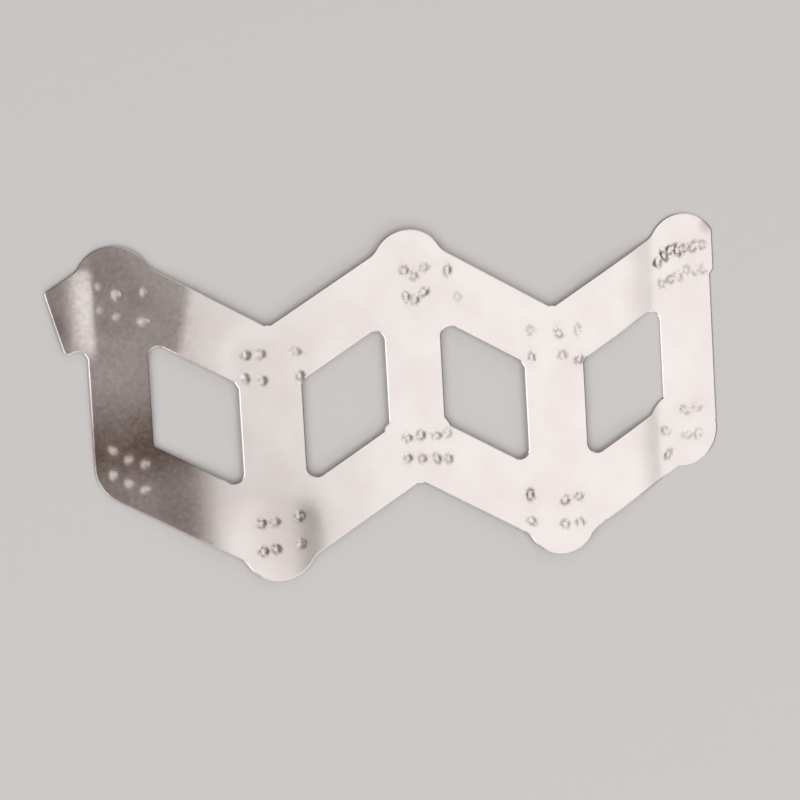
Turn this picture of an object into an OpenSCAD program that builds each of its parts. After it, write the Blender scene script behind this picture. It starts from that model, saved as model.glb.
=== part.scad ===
// Zigzag nickel strip with two staggered rows of round weld pads.
// One thin sheet: two zigzag rails, a leg at every column, and a pad where a leg meets a rail.

/* [Pad layout] */
// Distance between neighbouring pads along a rail
pad_pitch = 18.5; // [16:0.1:24]
// Distance between the pads of the two rails, along a leg
row_pitch = 19.15; // [17:0.05:26]
// Number of columns of pads
columns = 5; // [3:2:9]
// Angle at which the rails rise and fall
rail_angle = 30; // [20:1:35]

/* [Sheet] */
// Thickness of the nickel sheet
sheet_t = 0.2; // [0.1:0.05:0.4]

/* [Rails and legs] */
// Width of a rail, measured across it
rail_w = 6.85; // [5:0.05:8]
// Width of the legs at the high columns
high_leg_w = 6.3; // [4.5:0.1:7.5]
// Width of the legs at the low columns
low_leg_w = 6.9; // [4.5:0.1:7.5]
// Radius in the sharp corners of the windows
window_r = 1.1; // [0.4:0.1:1.6]

/* [Weld pads] */
// Diameter of a weld pad
pad_d = 8.4; // [8:0.1:9.4]
// Radius that eases the rim of a pad into the edge of its rail
pad_root_r = 3; // [1:0.5:5]
// How far the lower right pad hangs below the edge of its rail
pad_hang = 1; // [0:0.1:1.5]
// How far the snipped right end stands out from its leg
snip_proud = 0.45; // [0.1:0.05:0.8]
// Depth to which the welding pressed each inner pad below the rails
seat_depth = 0.15; // [0.05:0.05:0.3]
// Width of the level rim left round a pad before its slope starts
seat_margin = 0.15; // [0.05:0.05:0.3]
// Width of the slope round a pressed pad
seat_slope_w = 1.3; // [0.8:0.1:1.8]

/* [Rail stub at the left end] */
// Length of the cut-off rail, from the middle of the end pad
stub_len = 7.35; // [6:0.05:9]
// Angle of its cut from square
stub_cut_angle = 15; // [0:1:20]
// Radius on the corners of the cut
stub_corner_r = 0.6; // [0.3:0.1:1]

/* [Bent ends] */
// Slope of the end that bends down at the left
left_slope = 3; // [1:0.5:6]
// Where the left end starts to bend, from the middle of its column towards the next
left_fold = 7.5; // [6.5:0.5:8]
// Where the left end turns level again, outwards from the middle of its column
left_toe = 3.4; // [2.4:0.1:4]
// Where the right end starts to bend, from the middle of its column towards the next
right_fold = 7; // [6:0.5:8]
// Where the right end turns level again, from the middle of its column towards the next
right_toe = 3.5; // [2.5:0.5:4.5]
// Half the length over which the sheet curves at a fold
fold_half = 0.9; // [0.4:0.1:1.2]

/* [Hidden] */
$fn = 96;

// Flat steps that stand for the curve at each fold
fold_steps = 6;
// Length by which cutting shapes run past what they cut
clear = 2;
// Length by which shapes that join run into each other
bite = 0.2;
// What a rounding arc is larger by, so that it crosses the edges that it would else only touch
graze = 0.01;

column_pitch = pad_pitch * cos(rail_angle);
stagger = pad_pitch * sin(rail_angle);
rail_rise = tan(rail_angle);
// Height of a rail along a line straight up the sheet
rail_h = rail_w / cos(rail_angle);
pad_r = pad_d / 2;
seat_in_r = pad_r + seat_margin;
seat_out_r = seat_in_r + seat_slope_w;

last = columns - 1;
half_length = last / 2 * column_pitch;
end_drop = (left_fold + left_toe) * tan(left_slope);
sheet_low = -row_pitch / 2 - stagger - pad_r - clear;
sheet_high = row_pitch / 2 + pad_r + clear;
left_reach = half_length + stub_len + rail_w;
right_reach = half_length + high_leg_w / 2 + snip_proud;

function is_low(k) = k % 2 == 1;
function column_x(k) = k * column_pitch - half_length;
function column_y(k) = is_low(k) ? -stagger : 0;
function leg_w(k) = is_low(k) ? low_leg_w : high_leg_w;
function upper_pad(k) = [column_x(k), column_y(k) + row_pitch / 2];
function lower_pad(k) = [column_x(k), column_y(k) - row_pitch / 2];
function heading(a) = [cos(a), sin(a)];

// A zigzag band between the given centre points, as high as a rail
module zigzag(points) {
  up = [0, rail_h / 2];
  polygon(concat(
    [for (i = [0 : len(points) - 1]) points[i] + up],
    [for (i = [len(points) - 1 : -1 : 0]) points[i] - up]
  ));
}

// What lies between a corner and the arc that rounds it, for edges that leave at angles a and b,
// with a bite taken past both edges so that it joins or cuts cleanly
module corner_sliver(corner, a, b, r) {
  half = abs(b - a) / 2;
  reach = r / tan(half);
  inward = heading((a + b) / 2) / sin(half);
  past_a = heading(a - sign(b - a) * 90) * bite;
  past_b = heading(b + sign(b - a) * 90) * bite;
  end_a = corner + heading(a) * reach;
  end_b = corner + heading(b) * reach;
  middle = corner + inward * r;
  difference() {
    polygon([corner - inward * bite, end_a + past_a, end_a, middle, end_b, end_b + past_b]);
    translate(middle) circle(r + graze);
  }
}

// The sharp corner beside leg k under or over a rail; side is 1 for right, -1 for left, and
// up is 1 for a corner above the leg's lower pad, -1 for one below its upper pad
function window_corner(k, side, up) =
  (up > 0 ? lower_pad(k) : upper_pad(k))
  + [side * leg_w(k) / 2, up * (rail_h / 2 + leg_w(k) / 2 * rail_rise)];

module window_corners() {
  for (k = [0 : last]) {
    up = is_low(k) ? 1 : -1;
    for (side = [-1, 1]) {
      in_window = k + side >= 0 && k + side <= last;
      on_stub = k == 0 && side == -1;
      if (in_window || on_stub) {
        straight = up * 90;
        slant = side > 0 ? up * rail_angle : up * (180 - rail_angle);
        through() corner_sliver(window_corner(k, side, up), straight, slant, window_r);
      }
    }
  }
}

// The corner between a pad's rim and the outer edge of its rail, filled up to the arc that eases it;
// side is 1 for right, -1 for left, and up is 1 for a pad of the upper rail, -1 for one of the lower
module pad_root(pad, side, up) {
  edge = rail_w / 2 + pad_root_r;
  reach = sqrt(pow(pad_r + pad_root_r, 2) - pow(edge, 2));
  foot = pad + heading(side > 0 ? -up * rail_angle : 180 + up * rail_angle) * reach;
  middle = foot + heading(up * (90 - side * rail_angle)) * edge;
  difference() {
    polygon([pad, foot, middle]);
    translate(middle) circle(pad_root_r + graze);
  }
}

module pad_roots() {
  for (k = [0 : last])
    for (side = k == last ? [-1] : [-1, 1])
      if (is_low(k)) through() pad_root(lower_pad(k), side, -1);
      else through() pad_root(upper_pad(k), side, 1);
}

// Rail left over past the upper left pad, cut off at an angle
module stub() {
  root = upper_pad(0);
  tip = root - heading(rail_angle) * stub_len;
  cut = -90 + rail_angle - stub_cut_angle;
  across = rail_w / 2 / cos(stub_cut_angle);
  outer = tip - heading(cut) * across;
  inner = tip + heading(cut) * across;
  difference() {
    through() polygon([root + [0, rail_h / 2], outer, inner, root - [0, rail_h / 2]]);
    through() corner_sliver(outer, rail_angle, cut, stub_corner_r);
    through() corner_sliver(inner, rail_angle, cut + 180, stub_corner_r);
  }
}

// Middle of the lower right pad: its rim runs into the outer edge of the leg and hangs below the rail
function right_pad_middle() =
  let (
    dx = pad_r - high_leg_w / 2,
    dy = pad_r / cos(rail_angle) - rail_h / 2 - dx * rail_rise
  )
  lower_pad(last) + [-dx, dy - pad_hang];

// Cuts a flat shape right through the formed sheet
module through() {
  translate([0, 0, -end_drop - clear])
    linear_extrude(end_drop + sheet_t + 2 * clear) children();
}

// Outline of the sheet as it was stamped and then snipped at its ends
module blank() {
  outer_edge = [-high_leg_w / 2, high_leg_w / 2 * rail_rise];
  lower_left = lower_pad(0) + outer_edge;
  difference() {
    union() {
      through() zigzag([for (k = [0 : last]) upper_pad(k)]);
      through() zigzag(concat([lower_left], [for (k = [1 : last]) lower_pad(k)]));
      for (k = [0 : last])
        through() translate(lower_pad(k) - [leg_w(k) / 2, 0]) square([leg_w(k), row_pitch]);
      for (k = [0 : last])
        through() translate(upper_pad(k)) circle(pad_r);
      for (k = [1 : last - 1])
        through() translate(lower_pad(k)) circle(pad_r);
      through() translate(right_pad_middle()) circle(pad_r);
      pad_roots();
      window_corners();
      stub();
    }
    through() corner_sliver(lower_left - [0, rail_h / 2], 90, -rail_angle, pad_r);
  }
}

// Height lost at x past a fold at the given place, with a curve of fold_half on each side
function past_fold(x) =
  x <= -fold_half ? 0 :
  x >= fold_half ? x :
  pow(x + fold_half, 2) / (4 * fold_half);

// A bent end: the height lost at a distance u from the middle of the end column, towards the next
function bent_end(u, fold, toe) =
  end_drop / (fold - toe) * (past_fold(fold - u) - past_fold(toe - u));

// Height of the underside, which is level at 0 between the two folds
function sheet_z(x) =
  -bent_end(x + half_length, left_fold, -left_toe) - bent_end(half_length - x, right_fold, right_toe);

// Places along the sheet where a fold at x needs a point
function fold_points(x) = [for (i = [0 : fold_steps]) x + (2 * i / fold_steps - 1) * fold_half];

// The sheet seen from the side, with both ends bent down
module side_profile() {
  x = concat(
    [-left_reach],
    fold_points(-half_length - left_toe),
    fold_points(-half_length + left_fold),
    fold_points(half_length - right_fold),
    fold_points(half_length - right_toe),
    [right_reach]
  );
  n = len(x) - 1;
  polygon(concat(
    [for (i = [0 : n]) [x[i], sheet_z(x[i])]],
    [for (i = [n : -1 : 0]) [x[i], sheet_z(x[i]) + sheet_t]]
  ));
}

// A welded pad and the slope that leads down to it from the rails and the leg
module pressed_seat() {
  rotate_extrude()
    polygon([
      [0, 0],
      [seat_in_r, 0],
      [seat_out_r, seat_depth],
      [seat_out_r + bite, seat_depth],
      [seat_out_r + bite, seat_depth + sheet_t],
      [seat_out_r, seat_depth + sheet_t],
      [seat_in_r, sheet_t],
      [0, sheet_t]
    ]);
}

module at_inner_pads(z) {
  for (k = [1 : last - 1])
    for (pad = [upper_pad(k), lower_pad(k)])
      translate([pad.x, pad.y, z]) children();
}

// The sheet before its outline is cut: bent ends and pressed seats
module formed_sheet() {
  difference() {
    translate([0, sheet_high, 0])
      rotate([90, 0, 0])
        linear_extrude(sheet_high - sheet_low) side_profile();
    at_inner_pads(-clear)
      cylinder(r = seat_out_r, h = sheet_t + 2 * clear);
  }
  at_inner_pads(-seat_depth) pressed_seat();
}

module nickel_strip() {
  color("gainsboro")
    intersection() {
      blank();
      formed_sheet();
    }
}

nickel_strip();
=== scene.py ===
import math
import random

import bpy
from mathutils import Matrix, Vector
from mathutils.kdtree import KDTree


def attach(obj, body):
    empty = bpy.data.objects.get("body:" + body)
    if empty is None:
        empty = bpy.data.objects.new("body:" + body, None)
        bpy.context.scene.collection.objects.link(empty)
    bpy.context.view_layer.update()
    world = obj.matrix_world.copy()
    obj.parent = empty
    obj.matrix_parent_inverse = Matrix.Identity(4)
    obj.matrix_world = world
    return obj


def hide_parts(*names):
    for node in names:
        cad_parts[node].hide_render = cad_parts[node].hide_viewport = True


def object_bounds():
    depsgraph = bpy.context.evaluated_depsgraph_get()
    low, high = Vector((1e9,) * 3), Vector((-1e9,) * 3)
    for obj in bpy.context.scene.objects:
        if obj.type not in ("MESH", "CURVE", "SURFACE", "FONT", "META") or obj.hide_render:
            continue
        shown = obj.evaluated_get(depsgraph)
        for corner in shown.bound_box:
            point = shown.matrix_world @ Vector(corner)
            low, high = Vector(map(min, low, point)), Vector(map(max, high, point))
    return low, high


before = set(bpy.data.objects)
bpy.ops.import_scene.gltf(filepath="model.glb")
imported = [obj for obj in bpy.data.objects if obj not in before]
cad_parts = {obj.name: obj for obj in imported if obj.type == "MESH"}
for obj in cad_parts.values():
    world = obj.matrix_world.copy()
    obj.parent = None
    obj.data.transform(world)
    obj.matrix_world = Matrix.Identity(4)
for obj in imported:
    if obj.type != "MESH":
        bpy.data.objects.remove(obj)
cad_low, cad_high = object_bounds()

# The strip: one zigzag ladder stamped from thin rolled nickel sheet, with its ends bent down a
# little. Each pad was pressed down and spot welded, which left small dimples with a grey
# ring; the bent left end is painted a brown shade.
mm = 0.001

strip = bpy.data.objects.new("welded_strip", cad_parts["nickel_strip"].data.copy())
strip.data.materials.clear()
bpy.context.scene.collection.objects.link(strip)
bpy.ops.object.select_all(action="DESELECT")
strip.select_set(True)
bpy.context.view_layer.objects.active = strip
bpy.ops.mesh.customdata_custom_splitnormals_clear()


def pick_faces(piece, wanted):
    """In edit mode, selects the faces that are shown and wanted, and no others."""
    bpy.ops.mesh.select_mode(type="FACE")
    bpy.ops.mesh.select_all(action="DESELECT")
    bpy.ops.object.mode_set(mode="OBJECT")
    for face in piece.data.polygons:
        face.select = not face.hide and wanted(face)
    bpy.ops.object.mode_set(mode="EDIT")


# Blank as it was stamped: the solid's outline laid flat, with a narrow band along the cut edge
# and a fine net of points, given the thickness of the sheet. Points that touch or lie closer
# than the joined length become one.
sheet_t, play = 0.2 * mm, 0.01 * mm
edge_w, edge_h = 0.12 * mm, 0.06 * mm
net, joined, touching = 0.33 * mm, 0.012 * mm, 0.001 * mm
flat_angle = 0.01
bpy.ops.object.mode_set(mode="EDIT")
bpy.ops.mesh.select_all(action="SELECT")
bpy.ops.mesh.remove_doubles(threshold=touching)
pick_faces(strip, lambda face: face.normal.z < 0.5)
bpy.ops.mesh.delete(type="FACE")
bpy.ops.mesh.select_all(action="SELECT")
bpy.ops.transform.resize(value=(1, 1, 0), center_override=(0, 0, 0))
bpy.ops.transform.translate(value=(0, 0, sheet_t - play))
bpy.ops.mesh.dissolve_limited(angle_limit=flat_angle)
bpy.ops.mesh.select_all(action="SELECT")
bpy.ops.mesh.inset(thickness=edge_w)
bpy.ops.mesh.select_mode(type="VERT")
bpy.ops.mesh.select_all(action="DESELECT")
bpy.ops.mesh.select_non_manifold()
bpy.ops.object.vertex_group_assign_new()
bpy.ops.mesh.select_all(action="SELECT")
bpy.ops.mesh.quads_convert_to_tris(ngon_method="BEAUTY")
for along in (Vector((1, 0, 0)), Vector((0, 1, 0))):
    first, last = cad_low.dot(along), cad_high.dot(along)
    for i in range(1, int((last - first) / net) + 1):
        line = along * (first + i * net)
        bpy.ops.mesh.select_all(action="SELECT")
        bpy.ops.mesh.bisect(plane_co=line, plane_no=along, threshold=touching / 10)
bpy.ops.mesh.select_all(action="SELECT")
bpy.ops.mesh.remove_doubles(threshold=joined)
bpy.ops.mesh.dissolve_degenerate(threshold=joined / 2)
bpy.ops.object.mode_set(mode="OBJECT")
upper_points = len(strip.data.vertices)
sheet = strip.modifiers.new("sheet", "SOLIDIFY")
sheet.thickness, sheet.offset = sheet_t, -1
bpy.ops.object.modifier_apply(modifier=sheet.name)

# Bends and presses, in millimetres: the left end droops more along its lower rail, its cut-off
# rail was kinked up by the snips, and the welding pressed the pads down, some more than others
pad_pitch, row_pitch, rail_angle, columns = 18.5, 19.15, math.radians(30), 5
column = pad_pitch * math.cos(rail_angle)
rise = pad_pitch * math.sin(rail_angle)


def pad_middle(side, k):
    """Middle of the pad at column k from the left; side is 1 on the upper rail, -1 on the lower."""
    return Vector(((k - columns // 2) * column, side * row_pitch / 2 - k % 2 * rise))


def past(length, ease):
    """The length where it is above 0, eased in over a few times the ease."""
    return max(length, 0) + ease * math.log1p(math.exp(-abs(length) / ease))


def soft_step(value, low, high):
    """0 below low, 1 above high, and a soft step between."""
    share = min(max((value - low) / (high - low), 0), 1)
    return share * share * (3 - 2 * share)


def short_of(length, end, ease):
    """1 where the length is short of the end and 0 past it."""
    return 1 / (1 + math.exp((length - end) / ease))


# Each bend: where it starts along the strip, how steep it is and how softly it starts
left_fold, left_fall, left_ease = -25.0, 0.053, 0.25
left_toe, toe_rise, toe_ease = -29.3, 0.025, 0.8
kink, kink_rise, kink_ease = -34.3, 0.105, 0.12
tip, tip_fall, tip_ease = -36.9, 0.15, 0.8
right_fold, right_fall, right_ease = 24.7, 0.136, 0.8
right_toe, right_toe_ease = 28.5, 0.25
# The left fold runs at a slant across the upper rail, and the lower rail bends elsewhere
fold_slant, slant_middle = 0.24, 5.2
low_left_shift, low_left_ease = 1.9, 1.0
low_right_shift, low_right_fall = 0.5, 0.019
# Across the strip, where the lower rail fades out and where the cut-off rail starts and ends
low_rail_edge, cut_rail_foot, cut_rail_head = (-11, -1), (1.2, 4.0), (10.8, 12.0)
# The inner pads are pressed evenly, and the one at the lower left sank in a wide trough
inner_pads = [pad_middle(side, k) for side in (1, -1) for k in range(1, columns - 1)]
sunk_pad = pad_middle(-1, 1)
seat_r, seat_depth, seat_ease = 4.6, 0.022, 0.42
sunk_depth, sunk_right, sunk_left, sunk_top = 0.23, (3.4, 0.88), (3.2, 1.35), (4.2, 0.62)
# Slight waves left by handling: turn along the strip, turn across it and start of each
wave_h, waves = 0.005, [(0.43, 0, 0.9), (0.21, 0.31, 0), (-0.17, 0.5, 2)]


def sheet_height(x, y):
    """How far the sheet lies above its level middle; it is 0 or less nearly everywhere."""
    low_rail = 1 - soft_step(y, *low_rail_edge)
    cut_rail = soft_step(y, *cut_rail_foot) * (1 - soft_step(y, *cut_rail_head))
    slant = fold_slant * (max(y, 0) - slant_middle)
    fold = left_fold + slant * (1 - low_rail) + low_left_shift * low_rail
    z = -left_fall * past(fold - x, left_ease + low_left_ease * low_rail)
    z += toe_rise * past(left_toe - x, toe_ease)
    z += cut_rail * (kink_rise * past(kink - x, kink_ease) - tip_fall * past(tip - x, tip_ease))
    droop = past(x - right_fold - low_right_shift * low_rail, right_ease)
    droop -= past(x - right_toe, right_toe_ease)
    z -= (right_fall + low_right_fall * low_rail) * droop
    for pad in inner_pads:
        z -= seat_depth * short_of((Vector((x, y)) - pad).length, seat_r, seat_ease)
    across, along = Vector((x, y)) - sunk_pad
    trough = short_of(across, *sunk_right) * short_of(-across, *sunk_left) * short_of(along, *sunk_top)
    z -= sunk_depth * trough
    swell = sum(math.sin(turn_x * x + turn_y * y + start) for turn_x, turn_y, start in waves)
    return z + wave_h * (swell - len(waves))


# The band along the cut edge also rolls down, apart from points merged with its inner line
for point in strip.data.vertices:
    point.co.z += sheet_height(point.co.x / mm, point.co.y / mm) * mm
    if point.index < upper_points:
        rolled = sum(band.weight for band in point.groups)
        point.co.z -= edge_h * (rolled if rolled > joined / edge_w else 0)

# Upper face alone from here on
bpy.ops.object.mode_set(mode="EDIT")
pick_faces(strip, lambda face: face.normal.z > 0.3)
bpy.ops.mesh.hide(unselected=True)

# Weld marks, in millimetres from the middle of each pad: each pressed a small dimple into the
# sheet and left a grey ring. A third number is how much larger and darker a mark is than most.
upper_marks = [
    [(-1.4, 0.1, 0.5), (0.3, -0.9, 1.3), (3.2, -0.8, 0.7),
     (-1.4, -2.4, 0.5), (0.3, -3.2, 0.7), (3.0, -3.9, 1.5)],
    [(-2.5, 1.1), (-0.85, 1.1), (3.0, 1.1), (-2.7, -1.3), (-0.85, -1.7), (3.3, -1.5)],
    [(-0.55, -0.2), (0.5, -0.85), (1.7, -0.05), (4.3, -0.5),
     (-0.5, -3.1), (0.45, -3.45), (1.55, -2.7), (5.3, -3.4, 0.6)],
    [(-2.6, 1.6), (0.7, 1.1), (2.9, 1.4, 0.8), (-2.6, -1.4), (1.0, -1.4), (2.9, -2.0)],
    [(-3.1, -1.2, 1.2), (-2.3, -0.4, 1.4), (-1.6, 0.1, 1.6), (-0.7, 0.1, 1.7),
     (0.3, 0.2, 1.6), (1.3, 0.4, 1.4), (2.3, 0.5, 1.2),
     (-2.7, -3.5, 0.8), (-1.6, -3.1), (-0.7, -2.8), (0.3, -2.2), (1.4, -2.4), (2.3, -2.2, 0.8)],
]
lower_marks = [
    [(-1.1, 2.0), (0.5, 0.9), (2.2, 0.3), (-1.2, -0.6), (0.4, -1.6), (2.1, -2.4)],
    [(-1.85, 2.2, 1.2), (-0.4, 2.2, 1.2), (2.3, 2.6, 1.3),
     (-1.8, -0.8, 1.2), (-0.4, -0.7, 1.2), (2.3, -0.4, 1.3)],
    [(-1.2, 0.8), (0.3, 1.0), (2.1, 0.8), (3.3, 1.0, 0.8),
     (-1.3, -1.4, 0.9), (0.3, -1.6, 0.9), (2.0, -1.7, 0.9), (3.3, -1.8, 0.8)],
    [(-3.6, 2.7, 1.5), (0.45, 1.7), (2.1, 2.0), (-3.6, -0.2), (0.3, -0.9), (2.1, -0.9)],
    [(-0.7, 1.3), (0.8, 1.5), (-3.1, -0.85), (-0.55, -1.5), (0.8, -1.5), (-2.9, -3.5)],
]
mark_r, mark_depth, mark_reach, fine_reach = 0.62, 0.056, 1.6, 1.0
# How much a mark's size tells on its width, and the rest as shares of its radius
widening, dimple_r, ring_r, ring_w, dull_r = 0.16, 0.66, 0.68, 0.42, 0.75
halo_r, halo_grey = 1.7, 0.16
chance = random.Random(5)
marks = []
mark_places = KDTree(sum(len(pad) for pad in upper_marks + lower_marks))
for side, pads in ((1, upper_marks), (-1, lower_marks)):
    for k, pad in enumerate(pads):
        for across, along, *size in pad:
            mark_middle = pad_middle(side, k) + Vector((across, along))
            mark_places.insert(mark_middle.to_3d(), len(marks))
            turn = chance.uniform(0, math.pi)
            squeeze = chance.uniform(0.8, 1.0)
            depth = chance.uniform(0.75, 1.2)
            marks.append((size[0] if size else 1, turn, squeeze, depth))
mark_places.balance()
pick_faces(strip, lambda face: mark_places.find(face.center.xy.to_3d() / mm)[2] < fine_reach)
bpy.ops.mesh.subdivide(number_cuts=2)
bpy.ops.object.mode_set(mode="OBJECT")
for name in ("weld_ring", "weld_middle"):
    strip.data.attributes.new(name, "FLOAT", "POINT")
weld_ring = strip.data.attributes["weld_ring"].data
weld_middle = strip.data.attributes["weld_middle"].data
for point, grey, dull in zip(strip.data.vertices, weld_ring, weld_middle):
    if point.hide:
        continue
    spot = point.co.xy.to_3d() / mm
    for middle, index, gap in mark_places.find_range(spot, mark_reach):
        size, turn, squeeze, depth = marks[index]
        across = (spot - middle).xy
        across.rotate(Matrix.Rotation(turn, 2))
        out = Vector((across.x / squeeze, across.y * squeeze)).length
        out /= mark_r * (1 - widening + widening * size)
        point.co.z -= mark_depth * depth * size * math.exp(-((out / dimple_r) ** 3)) * mm
        halo = halo_grey * math.exp(-((out / halo_r) ** 2))
        grey.value = max(grey.value, size * depth * math.exp(-((out - ring_r) / ring_w) ** 2), halo)
        dull.value = max(dull.value, min(size, 1) * math.exp(-((out / dull_r) ** 2)))
bpy.ops.object.mode_set(mode="EDIT")
bpy.ops.mesh.reveal(select=False)
bpy.ops.mesh.select_all(action="SELECT")
bpy.ops.mesh.quads_convert_to_tris(quad_method="BEAUTY", ngon_method="BEAUTY")
bpy.ops.object.mode_set(mode="OBJECT")
crease = math.radians(18)
bpy.ops.object.shade_smooth_by_angle(angle=crease)


class Wire:
    """The output of a shader node; sums on it add Math nodes, and node() adds any other.

    An input is named with _ for a space, or by its number after a letter.
    """

    def __init__(self, tree, socket):
        self.tree, self.socket = tree, socket

    def node(self, kind, settings=None, output=0, **inputs):
        made = self.tree.nodes.new("ShaderNode" + kind)
        for name, value in (settings or {}).items():
            setattr(made, name, value)
        for name, value in inputs.items():
            number = name[1:]
            socket = made.inputs[int(number) if number.isdigit() else name.replace("_", " ")]
            if isinstance(value, Wire):
                self.tree.links.new(value.socket, socket)
            else:
                socket.default_value = value
        return Wire(self.tree, made.outputs[output])

    def sum(self, operation, *values):
        inputs = {f"i{i}": value for i, value in enumerate(values)}
        return self.node("Math", {"operation": operation}, **inputs)

    def __add__(self, other):
        return self.sum("ADD", self, other)

    __radd__ = __add__

    def __sub__(self, other):
        return self.sum("SUBTRACT", self, other)

    def __rsub__(self, other):
        return self.sum("SUBTRACT", other, self)

    def __mul__(self, other):
        return self.sum("MULTIPLY", self, other)

    __rmul__ = __mul__

    def between(self, low, high):
        """0 below low, 1 above high, and a soft step between."""
        return self.node("MapRange", {"interpolation_type": "SMOOTHSTEP"},
                         Value=self, From_Min=low, From_Max=high)

    def tint(self, share, colour):
        """This colour, turned towards another by the share."""
        return self.node("Mix", {"data_type": "RGBA"}, 2, i0=share, i6=self, i7=colour)


nickel = bpy.data.materials.new("nickel")
nickel.use_nodes = True
nickel.node_tree.nodes.clear()
source = Wire(nickel.node_tree, None)
object_place = source.node("TexCoord", output=3)
place = source.node("VectorMath", {"operation": "SCALE"}, i0=object_place, Scale=1 / mm)
place_x = source.node("SeparateXYZ", output=0, Vector=place)
place_y = source.node("SeparateXYZ", output=1, Vector=place)

# Patterns: wide blotches, fine specks and the grain left along the sheet by its rolling
blotch = source.node("TexNoise", Vector=place, Scale=0.16, Detail=3.0, Roughness=0.55)
speck = source.node("TexNoise", Vector=place, Scale=1.9, Detail=3.0, Roughness=0.65)
grain_stretch = (0.5, 14.0, 1.0)
grain_place = source.node("VectorMath", {"operation": "MULTIPLY"}, i0=place, i1=grain_stretch)
grain = source.node("TexNoise", Vector=grain_place, Scale=1.0, Detail=3.0, Roughness=0.6)
ring = source.node("Attribute", {"attribute_name": "weld_ring"}, 2) * speck.between(0.36, 0.6)
dull = source.node("Attribute", {"attribute_name": "weld_middle"}, 2)
dull = dull * (0.5 + 0.5 * speck.between(0.4, 0.55))

# Painted shade on the bent left end, darkest where its leg meets the lower rail, and mottled
left_end = 1 - place_x.between(-26.0, -22.0)
leg_end = place_y.between(-13.0, -7.0) * (1 - place_y.between(-5.0, 1.0))
pad_end = place_y.between(3.5, 6.0) * place_x.between(-35.2, -33.8) * (1 - place_x.between(-31.5, -28.5))
foot_end = 1 - place_y.between(-9.0, -3.0)
patches = 0.1 + 0.48 * leg_end + 0.32 * foot_end + 0.2 * pad_end
mottle = 0.14 * blotch.between(0.35, 0.65) + 0.6 * (speck - 0.5)
end_shade = left_end * (patches + mottle) * (1 - dull)

pale_nickel, warm_nickel = (0.835, 0.80, 0.785, 1), (0.805, 0.755, 0.745, 1)
shade_brown, weld_grey, spot_grey = (0.25, 0.18, 0.155, 1), (0.25, 0.21, 0.2, 1), (0.3, 0.26, 0.25, 1)
colour = source.node("Mix", {"data_type": "RGBA"}, 2, i0=blotch.between(0.3, 0.7),
                     i6=pale_nickel, i7=warm_nickel)
# Painted shade: the bent left end is turned towards brown
colour = colour.tint(end_shade, shade_brown)
colour = colour.tint(ring * (0.6 - 0.45 * left_end), weld_grey)

# Darker grey spots: the middle, the reach and the strength of each. The one at the upper right pad is
# painted shade of a bend at its rim.
dark_spots = [
    ((-15.0, -15.8, 0), 5.5, 0.12),
    ((-15.0, -15.0, 0), 17.0, 0.13),
    # painted shade of a bend at the rim of the upper right pad
    ((35.1, 12.3, 0), 1.5, 0.5),
    ((-29.6, 8.2, 0), 2.2, 0.3),
    ((-27.5, -13.5, 0), 4.0, 0.2),
    ((-39.0, 5.5, 0), 3.0, 0.55),
]
spot_core = 0.1
for middle, reach, strength in dark_spots:
    gap = source.node("VectorMath", {"operation": "DISTANCE"}, 1, i0=place, i1=middle)
    darkening = strength * (1 - gap.between(spot_core * reach, reach)) * (1 - dull)
    colour = colour.tint(darkening, spot_grey)

rough = 0.19 + 0.05 * grain + 0.04 * blotch + dull * (0.05 + 0.21 * left_end)
grain_h = 0.02 * mm
relief = source.node("Bump", Strength=0.06, Distance=grain_h, Height=grain)
metal = source.node("BsdfPrincipled", Base_Color=colour, Metallic=1.0, Roughness=rough, Normal=relief)
surface = nickel.node_tree.nodes.new("ShaderNodeOutputMaterial")
nickel.node_tree.links.new(metal.socket, surface.inputs["Surface"])
strip.data.materials.append(nickel)

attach(strip, "root")
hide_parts("nickel_strip")

# Floor: one plain sheet of pale matt paper, wider than any view of it. The strip lies on it
# unheld and touches it at the bent ends.
floor_w, floor_z = 4, cad_low.z
pale_paper = (0.83, 0.84, 0.85, 1)
bpy.ops.mesh.primitive_plane_add(size=floor_w, location=(0, 0, floor_z))
floor = bpy.context.object
floor.name = "floor"
paper = bpy.data.materials.new("paper")
paper.use_nodes = True
paper_inputs = paper.node_tree.nodes["Principled BSDF"].inputs
paper_inputs["Base Color"].default_value = pale_paper
paper_inputs["Roughness"].default_value = 0.9
paper_inputs["Specular IOR Level"].default_value = 0.1
floor.data.materials.append(paper)


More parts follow.
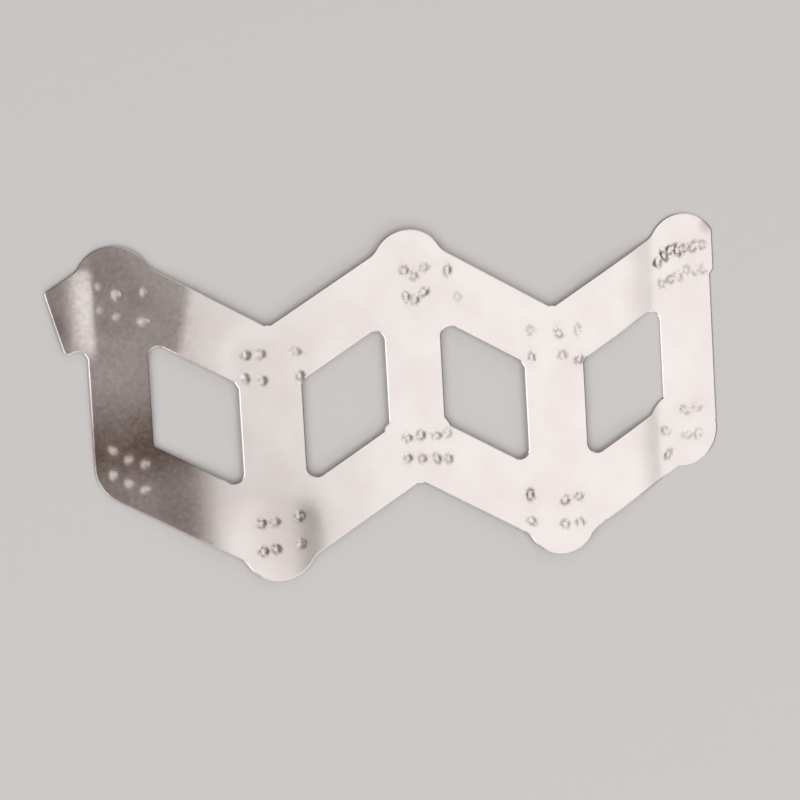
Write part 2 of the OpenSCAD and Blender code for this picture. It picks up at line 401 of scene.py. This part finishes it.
# Light: four soft boxes, each a plain glowing sheet. The level strip mirrors the key box to the
# camera, the others catch its rolled edges from the side, the front and the back, and a dim
# warm room stands round them.
def soft_box(name, place, aim, width, height, radiance, colour):
    """A glowing sheet of the given size and brightness that faces its aim."""
    lamp = bpy.data.lights.new(name, "AREA")
    lamp.shape = "RECTANGLE"
    lamp.size, lamp.size_y = width, height
    lamp.energy = radiance * math.pi * width * height
    lamp.color = colour
    holder = bpy.data.objects.new(name, lamp)
    holder.location = place
    holder.rotation_euler = (Vector(aim) - Vector(place)).to_track_quat("-Z", "Y").to_euler()
    bpy.context.scene.collection.objects.link(holder)


key_z, key_left, key_right, key_front, key_back = 0.42, 0.042, 0.38, -0.30, 0.20
key_middle = Vector(((key_left + key_right) / 2, (key_front + key_back) / 2, key_z))
straight_down = Vector((0, 0, -1))
strip_middle = (0, 0, 0)
white, warm_white, faint_white = (1, 1, 1), (1.0, 0.98, 0.96), (1.0, 0.99, 0.98)
soft_box("key_box", place=key_middle, aim=key_middle + straight_down,
         width=key_right - key_left, height=key_back - key_front, radiance=0.9, colour=white)
soft_box("side_box", place=(-0.5, -0.2, 0.6), aim=strip_middle,
         width=1.1, height=0.66, radiance=1.3, colour=warm_white)
soft_box("front_box", place=(0.3, -0.8, 0.45), aim=strip_middle,
         width=1.4, height=0.36, radiance=1.0, colour=faint_white)
soft_box("back_box", place=(0.35, 0.85, 0.42), aim=strip_middle,
         width=1.3, height=0.36, radiance=0.8, colour=warm_white)

dim_warm = (0.23, 0.2, 0.187, 1)
room = bpy.data.worlds.new("room")
room.use_nodes = True
room.node_tree.nodes["Background"].inputs["Color"].default_value = dim_warm
room.node_tree.nodes["Background"].inputs["Strength"].default_value = 1.0
bpy.context.scene.world = room

# Camera: above the strip and towards its left end, as in the photograph, a little out of level.
# Its long lens lets the strip fill the width of the picture.
eye = Vector((-68.8, 14.9, 240.1)) * mm
aim = Vector((-1.8, -4.6, 0)) * mm
roll, focal_length, near = math.radians(4.5), 104, 0.01
back = (eye - aim).normalized()
level = (Vector((1, 0, 0)) - back * back.x).normalized()
right = (Matrix.Rotation(-roll, 3, back) @ level).normalized()
lens = bpy.data.cameras.new("camera")
lens.lens = focal_length
lens.clip_start = near
camera = bpy.data.objects.new("camera", lens)
camera.matrix_world = Matrix((right, back.cross(right), back)).transposed().to_4x4()
camera.location = eye
bpy.context.scene.collection.objects.link(camera)
bpy.context.scene.camera = camera
bpy.context.scene.view_settings.view_transform = "Standard"
